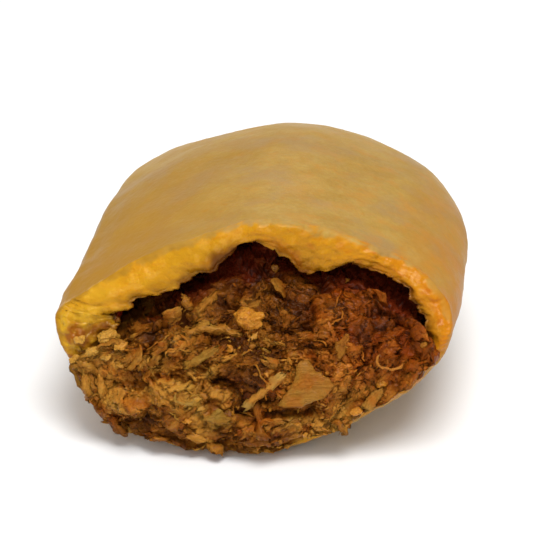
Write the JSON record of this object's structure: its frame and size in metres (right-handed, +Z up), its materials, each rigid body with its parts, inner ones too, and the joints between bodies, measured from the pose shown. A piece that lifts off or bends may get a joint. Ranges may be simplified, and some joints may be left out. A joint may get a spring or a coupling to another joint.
{
  "type": "tamale",
  "caption": "Peeled corn-masa tamale broken open across the middle, its torn masa shell open at one end and full of brown shredded beef that bulges out of the mouth.",
  "frame": {"origin": "centre of the bounding box's bottom, on the flat spot it rests on", "axes": "+Z up, -Y out of the broken mouth, +Y towards the closed rounded end, +X to the right seen from the mouth"},
  "size_m": [0.0666, 0.0742, 0.0384],
  "materials": {
    "masa": "soft dull tan-gold steamed corn dough with faint husk marks; bright yellow-orange and moist where torn",
    "shredded_beef": "moist brown shredded beef in dark red-brown sauce, with small tan and orange bits"
  },
  "bodies": {
    "root": {"masa": "masa", "filling": "shredded_beef"}
  },
  "joints": []
}
